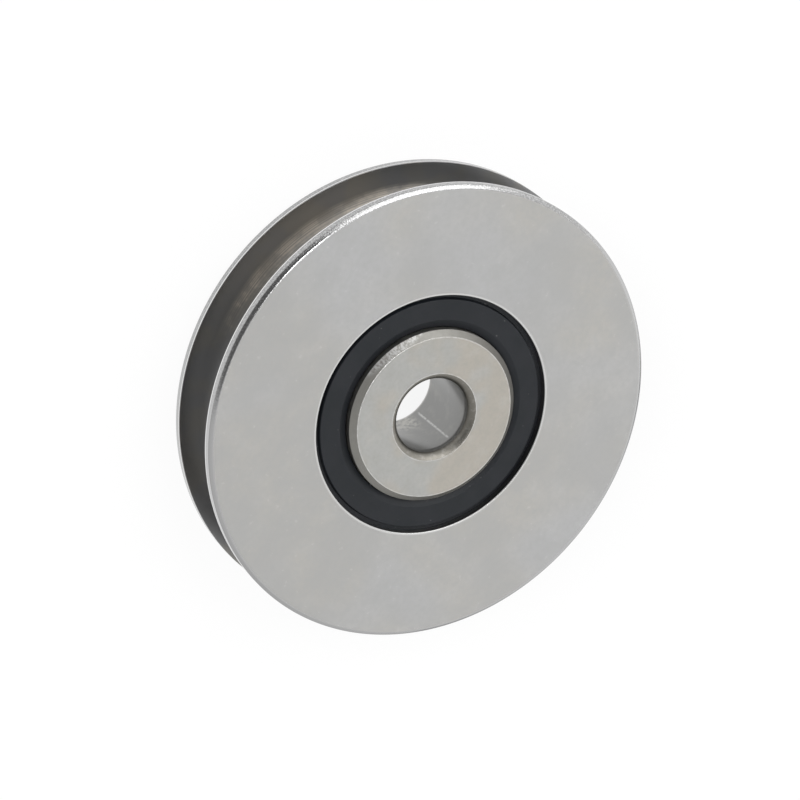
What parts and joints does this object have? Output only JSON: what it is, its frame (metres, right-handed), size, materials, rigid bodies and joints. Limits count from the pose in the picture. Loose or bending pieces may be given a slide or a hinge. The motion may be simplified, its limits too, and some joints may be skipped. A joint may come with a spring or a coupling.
{
  "type": "u-groove pulley wheel",
  "caption": "Flat steel pulley wheel with a deep U-shaped rope groove, turning on a rubber-sealed ball bearing whose plain hub stands slightly proud and has a smooth round bore.",
  "frame": {"origin": "centre of the axle bore, half way through the wheel's width", "axes": "+Z along the axle bore, out of the hub's front face; the wheel lies flat, and X and Y are in its plane, with the centre of ball 1 on +X"},
  "size_m": [0.05, 0.05, 0.01],
  "materials": {
    "wheel_steel": "satin ground steel",
    "hub_steel": "satin ground steel, slightly warmer",
    "seal_rubber": "matt black moulded rubber",
    "ball_steel": "polished bearing steel",
    "cage_steel": "pressed mild steel sheet",
    "rivet_steel": "upset mild steel wire"
  },
  "bodies": {
    "hub": {"inner_ring": "hub_steel"},
    "wheel": {"grooved_wheel": "wheel_steel", "front_seal": "seal_rubber", "back_seal": "seal_rubber"},
    "cage": {"cage_front_half": "cage_steel", "cage_back_half": "cage_steel", "cage_rivets": "rivet_steel"},
    "ball_1": {"ball_1": "ball_steel"},
    "ball_2": {"ball_2": "ball_steel"},
    "ball_3": {"ball_3": "ball_steel"},
    "ball_4": {"ball_4": "ball_steel"},
    "ball_5": {"ball_5": "ball_steel"},
    "ball_6": {"ball_6": "ball_steel"},
    "ball_7": {"ball_7": "ball_steel"},
    "ball_8": {"ball_8": "ball_steel"}
  },
  "joints": [
    {"name": "wheel_spin", "type": "hinge", "parent": "hub", "child": "wheel", "pos_m": [0, 0, 0], "axis": [0, 0, 1], "continuous": true},
    {"name": "cage_spin", "type": "hinge", "parent": "hub", "child": "cage", "pos_m": [0, 0, 0], "axis": [0, 0, 1], "continuous": true},
    {"name": "ball_1_spin", "type": "hinge", "parent": "cage", "child": "ball_1", "pos_m": [0.011, 0, 0], "axis": [0, 0, 1], "continuous": true},
    {"name": "ball_2_spin", "type": "hinge", "parent": "cage", "child": "ball_2", "pos_m": [0.00778, 0.00778, 0], "axis": [0, 0, 1], "continuous": true},
    {"name": "ball_3_spin", "type": "hinge", "parent": "cage", "child": "ball_3", "pos_m": [0, 0.011, 0], "axis": [0, 0, 1], "continuous": true},
    {"name": "ball_4_spin", "type": "hinge", "parent": "cage", "child": "ball_4", "pos_m": [-0.00778, 0.00778, 0], "axis": [0, 0, 1], "continuous": true},
    {"name": "ball_5_spin", "type": "hinge", "parent": "cage", "child": "ball_5", "pos_m": [-0.011, 0, 0], "axis": [0, 0, 1], "continuous": true},
    {"name": "ball_6_spin", "type": "hinge", "parent": "cage", "child": "ball_6", "pos_m": [-0.00778, -0.00778, 0], "axis": [0, 0, 1], "continuous": true},
    {"name": "ball_7_spin", "type": "hinge", "parent": "cage", "child": "ball_7", "pos_m": [0, -0.011, 0], "axis": [0, 0, 1], "continuous": true},
    {"name": "ball_8_spin", "type": "hinge", "parent": "cage", "child": "ball_8", "pos_m": [0.00778, -0.00778, 0], "axis": [0, 0, 1], "continuous": true}
  ],
  "couplings": [
    {"joint": "cage_spin", "follows": "wheel_spin", "ratio": 0.60823},
    {"joint": "ball_1_spin", "follows": "wheel_spin", "ratio": 2.2017},
    {"joint": "ball_2_spin", "follows": "wheel_spin", "ratio": 2.2017},
    {"joint": "ball_3_spin", "follows": "wheel_spin", "ratio": 2.2017},
    {"joint": "ball_4_spin", "follows": "wheel_spin", "ratio": 2.2017},
    {"joint": "ball_5_spin", "follows": "wheel_spin", "ratio": 2.2017},
    {"joint": "ball_6_spin", "follows": "wheel_spin", "ratio": 2.2017},
    {"joint": "ball_7_spin", "follows": "wheel_spin", "ratio": 2.2017},
    {"joint": "ball_8_spin", "follows": "wheel_spin", "ratio": 2.2017}
  ]
}
